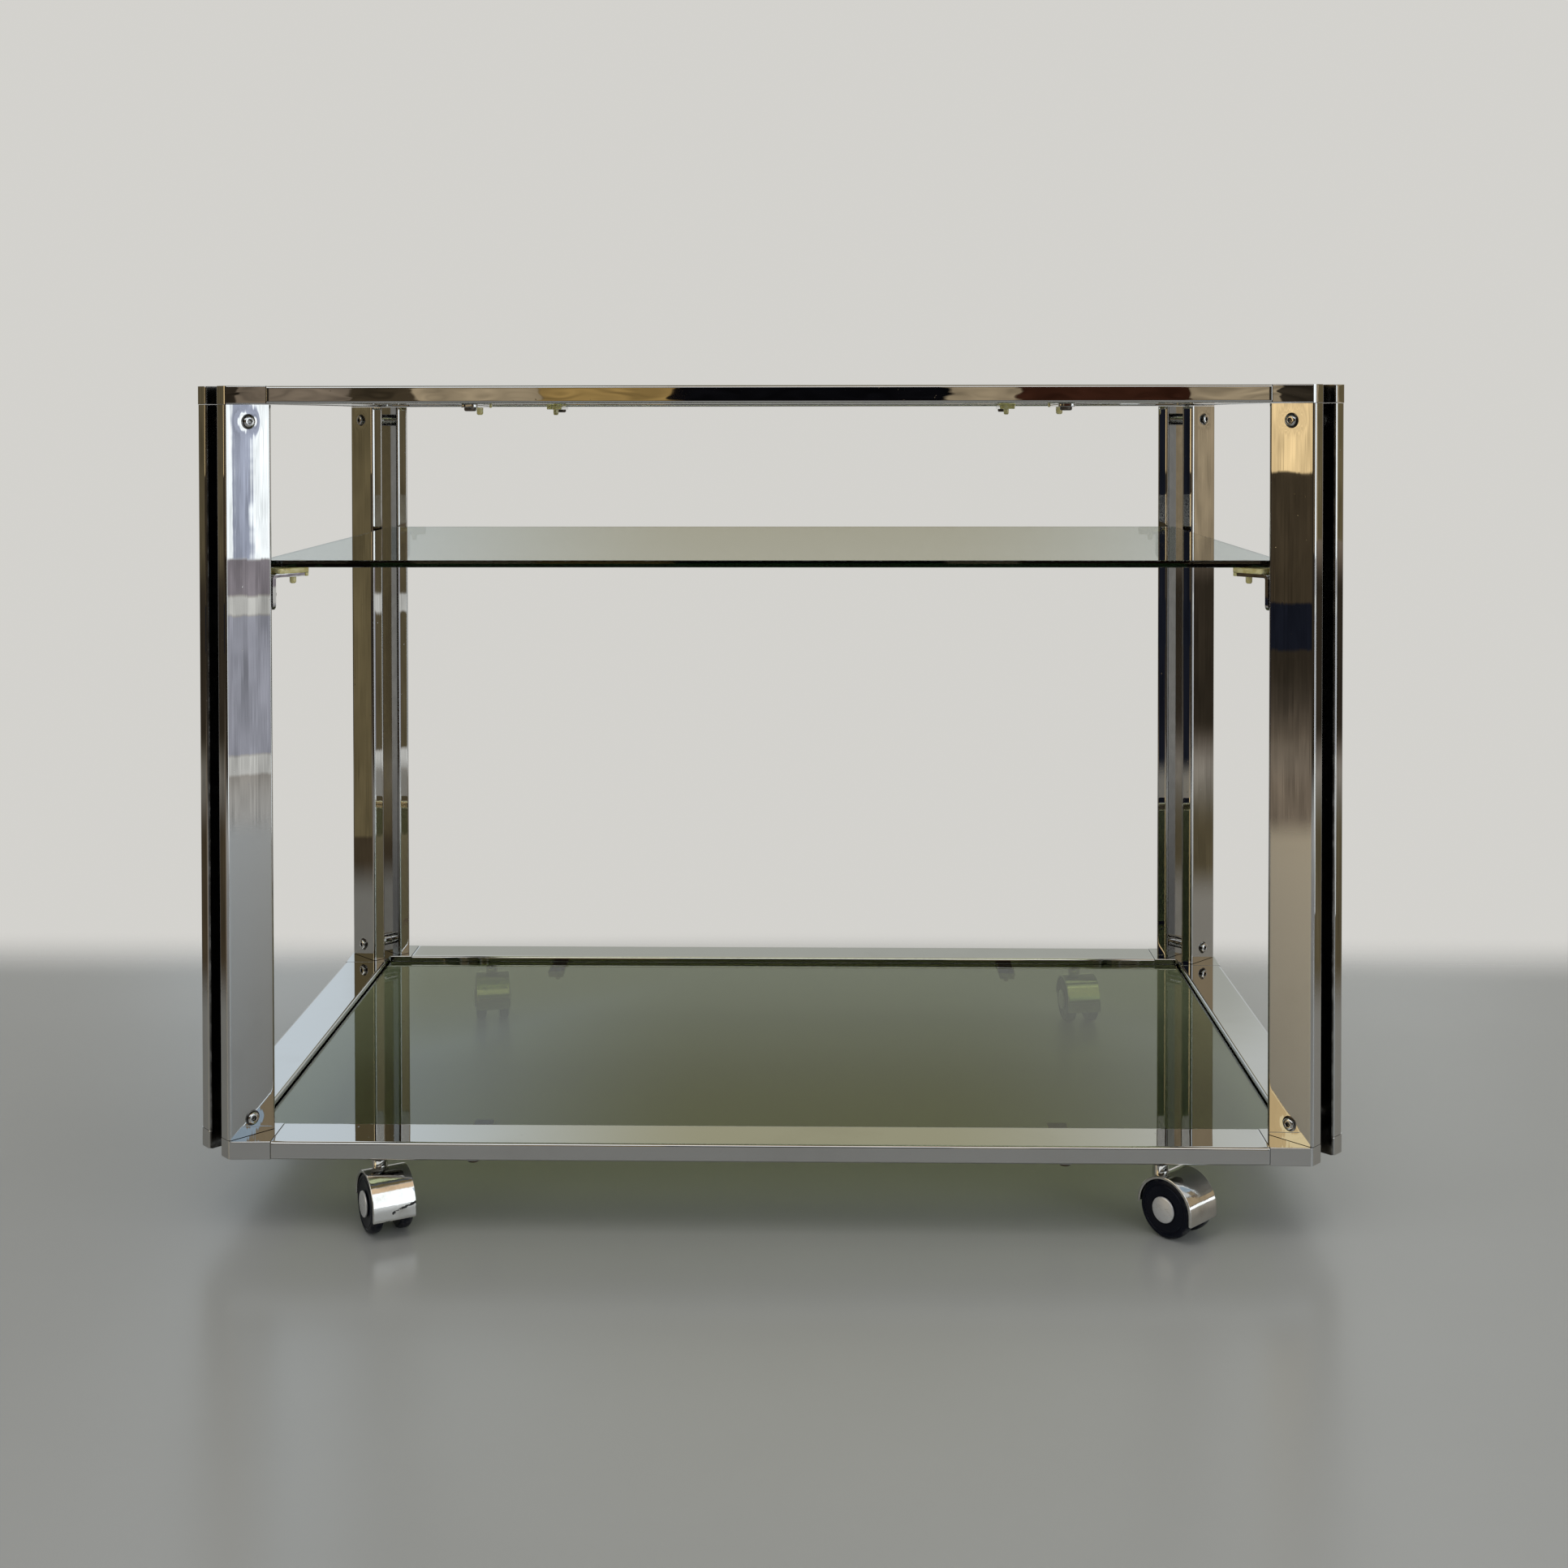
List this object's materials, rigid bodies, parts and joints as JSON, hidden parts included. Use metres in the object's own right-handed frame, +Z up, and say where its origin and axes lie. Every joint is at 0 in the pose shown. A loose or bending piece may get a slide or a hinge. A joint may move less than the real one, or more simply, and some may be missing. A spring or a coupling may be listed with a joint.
{
  "type": "bar cart",
  "caption": "Chrome and glass serving cart with split corner legs, recessed smoked glass tiers, a clear middle shelf and hooded twin-wheel swivel casters.",
  "frame": {"origin": "on the floor, at the middle of the space the cart takes up with its casters as parked; the middle of the frame itself lies 12 mm behind it", "axes": "+X to the right along the cart's length seen from the front, +Y to the back, +Z up"},
  "size_m": [0.95, 0.6148, 0.694],
  "materials": {
    "chrome": "polished, lightly worn",
    "caster_chrome": "polished, worn and pitted at the lower edge",
    "smoked_glass": "smoked bronze, polished",
    "clear_glass": "clear with a grey green tint and dark edges",
    "vinyl_pad": "soft clear vinyl, yellowed",
    "dark_steel": "blackened",
    "plain_steel": "zinc plated",
    "silver_cap": "satin, scuffed",
    "black_wheel": "hard black plastic, scuffed tread"
  },
  "bodies": {
    "cart_frame": {"bottom_front_rail": "chrome", "bottom_back_rail": "chrome", "bottom_left_rail": "chrome", "bottom_right_rail": "chrome", "bottom_front_left_corner": "chrome", "bottom_front_right_corner": "chrome", "bottom_back_left_corner": "chrome", "bottom_back_right_corner": "chrome", "top_front_rail": "chrome", "top_back_rail": "chrome", "top_left_rail": "chrome", "top_right_rail": "chrome", "top_front_left_corner": "chrome", "top_front_right_corner": "chrome", "top_back_left_corner": "chrome", "top_back_right_corner": "chrome", "front_left_leg_front_bar": "chrome", "front_left_leg_side_bar": "chrome", "front_right_leg_front_bar": "chrome", "front_right_leg_side_bar": "chrome", "back_left_leg_back_bar": "chrome", "back_left_leg_side_bar": "chrome", "back_right_leg_back_bar": "chrome", "back_right_leg_side_bar": "chrome", "leg_screws": "chrome", "leg_standoffs": "chrome", "glass_clips": "chrome", "shelf_brackets": "chrome", "bottom_glass": "smoked_glass", "top_glass": "smoked_glass", "middle_glass_shelf": "clear_glass", "glass_clip_pads": "vinyl_pad", "shelf_pads": "vinyl_pad", "glass_clip_screws": "dark_steel", "shelf_bracket_screws": "dark_steel", "caster_stems": "plain_steel", "caster_stem_rings": "plain_steel", "caster_nuts": "plain_steel"},
    "front_left_caster": {"front_left_caster_hood": "caster_chrome", "front_left_caster_axle": "plain_steel", "front_left_caster_axle_caps": "silver_cap"},
    "front_left_left_wheel": {"front_left_caster_left_wheel": "black_wheel"},
    "front_left_right_wheel": {"front_left_caster_right_wheel": "black_wheel"},
    "front_right_caster": {"front_right_caster_hood": "caster_chrome", "front_right_caster_axle": "plain_steel", "front_right_caster_axle_caps": "silver_cap"},
    "front_right_left_wheel": {"front_right_caster_left_wheel": "black_wheel"},
    "front_right_right_wheel": {"front_right_caster_right_wheel": "black_wheel"},
    "back_left_caster": {"back_left_caster_hood": "caster_chrome", "back_left_caster_axle": "plain_steel", "back_left_caster_axle_caps": "silver_cap"},
    "back_left_left_wheel": {"back_left_caster_left_wheel": "black_wheel"},
    "back_left_right_wheel": {"back_left_caster_right_wheel": "black_wheel"},
    "back_right_caster": {"back_right_caster_hood": "caster_chrome", "back_right_caster_axle": "plain_steel", "back_right_caster_axle_caps": "silver_cap"},
    "back_right_left_wheel": {"back_right_caster_left_wheel": "black_wheel"},
    "back_right_right_wheel": {"back_right_caster_right_wheel": "black_wheel"}
  },
  "joints": [
    {"name": "front_left_swivel", "type": "hinge", "parent": "cart_frame", "child": "front_left_caster", "pos_m": [-0.323, -0.26108, 0.053], "axis": [0, 0, 1], "continuous": true},
    {"name": "front_left_left_wheel_spin", "type": "hinge", "parent": "front_left_caster", "child": "front_left_left_wheel", "pos_m": [-0.315, -0.27551, 0.024], "axis": [0.8746, 0.4848, 0], "continuous": true},
    {"name": "front_left_right_wheel_spin", "type": "hinge", "parent": "front_left_caster", "child": "front_left_right_wheel", "pos_m": [-0.315, -0.27551, 0.024], "axis": [0.8746, 0.4848, 0], "continuous": true},
    {"name": "front_right_swivel", "type": "hinge", "parent": "cart_frame", "child": "front_right_caster", "pos_m": [0.323, -0.26108, 0.053], "axis": [0, 0, 1], "continuous": true},
    {"name": "front_right_left_wheel_spin", "type": "hinge", "parent": "front_right_caster", "child": "front_right_left_wheel", "pos_m": [0.33446, -0.27295, 0.024], "axis": [0.7193, 0.6947, 0], "continuous": true},
    {"name": "front_right_right_wheel_spin", "type": "hinge", "parent": "front_right_caster", "child": "front_right_right_wheel", "pos_m": [0.33446, -0.27295, 0.024], "axis": [0.7193, 0.6947, 0], "continuous": true},
    {"name": "back_left_swivel", "type": "hinge", "parent": "cart_frame", "child": "back_left_caster", "pos_m": [-0.323, 0.28592, 0.053], "axis": [0, 0, 1], "continuous": true},
    {"name": "back_left_left_wheel_spin", "type": "hinge", "parent": "back_left_caster", "child": "back_left_left_wheel", "pos_m": [-0.31957, 0.26978, 0.024], "axis": [0.9781, 0.2079, 0], "continuous": true},
    {"name": "back_left_right_wheel_spin", "type": "hinge", "parent": "back_left_caster", "child": "back_left_right_wheel", "pos_m": [-0.31957, 0.26978, 0.024], "axis": [0.9781, 0.2079, 0], "continuous": true},
    {"name": "back_right_swivel", "type": "hinge", "parent": "cart_frame", "child": "back_right_caster", "pos_m": [0.323, 0.28592, 0.053], "axis": [0, 0, 1], "continuous": true},
    {"name": "back_right_left_wheel_spin", "type": "hinge", "parent": "back_right_caster", "child": "back_right_left_wheel", "pos_m": [0.32544, 0.2696, 0.024], "axis": [0.989, 0.1478, 0], "continuous": true},
    {"name": "back_right_right_wheel_spin", "type": "hinge", "parent": "back_right_caster", "child": "back_right_right_wheel", "pos_m": [0.32544, 0.2696, 0.024], "axis": [0.989, 0.1478, 0], "continuous": true}
  ]
}
